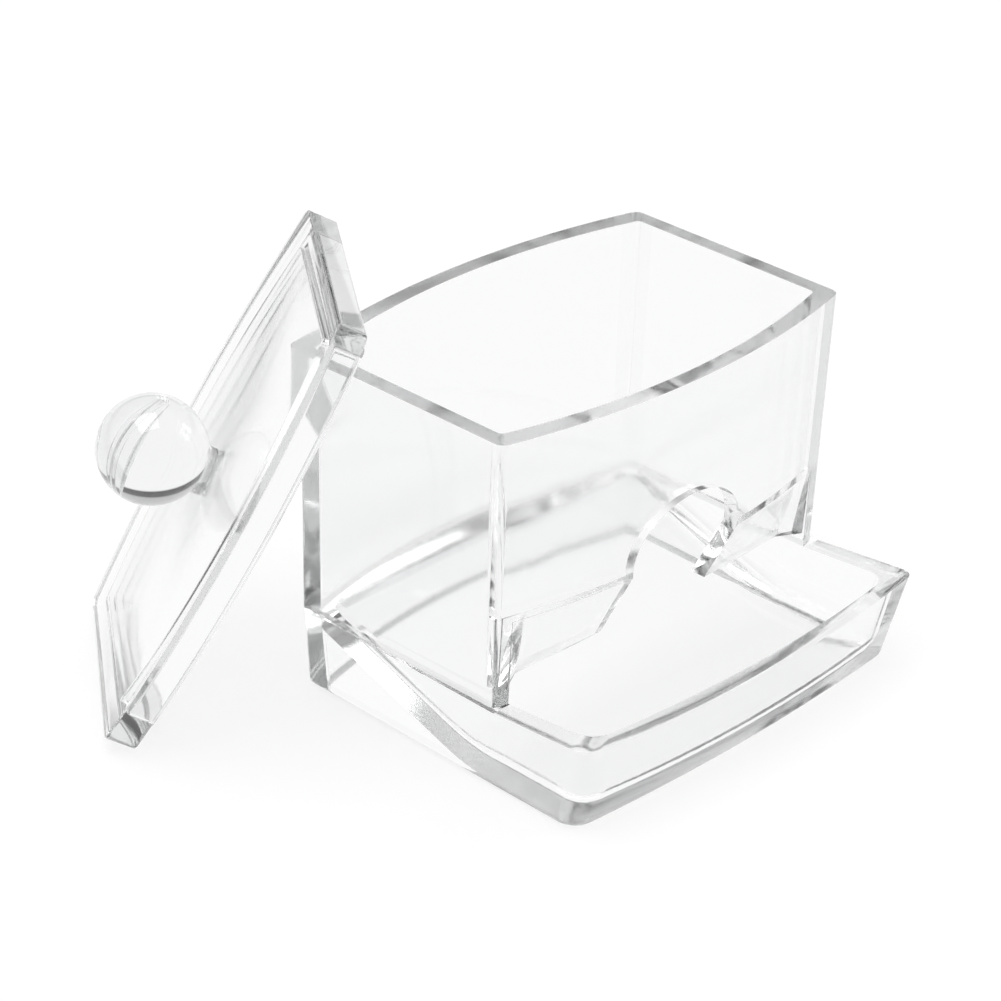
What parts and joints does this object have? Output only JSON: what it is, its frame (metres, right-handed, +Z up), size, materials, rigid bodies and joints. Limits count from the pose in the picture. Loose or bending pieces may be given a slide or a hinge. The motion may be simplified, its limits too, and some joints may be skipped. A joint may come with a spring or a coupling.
{
  "type": "cotton pad dispenser box",
  "caption": "Clear box with bowed sides, an open top and a chute that feeds cotton pads into a low front tray; its ball-knob lid is off and leans on the rim.",
  "frame": {"origin": "middle of the flat patch under the tray, on the table", "axes": "+Z up, -Y towards the open tray, X along the bowed front"},
  "size_m": [0.1461, 0.1343, 0.0921],
  "materials": {
    "clear_plastic": "clear, polished, colourless",
    "clear_knob": "clear, polished, colourless"
  },
  "bodies": {
    "box": {"base_tray": "clear_plastic", "bin_walls": "clear_plastic"},
    "lid": {"lid_cap": "clear_plastic", "ball_knob": "clear_knob"}
  },
  "joints": [
    {"name": "lid_lift", "type": "slide", "parent": "box", "child": "lid", "axis": [0, 0, 1], "range_m": [0, 0.1]}
  ]
}
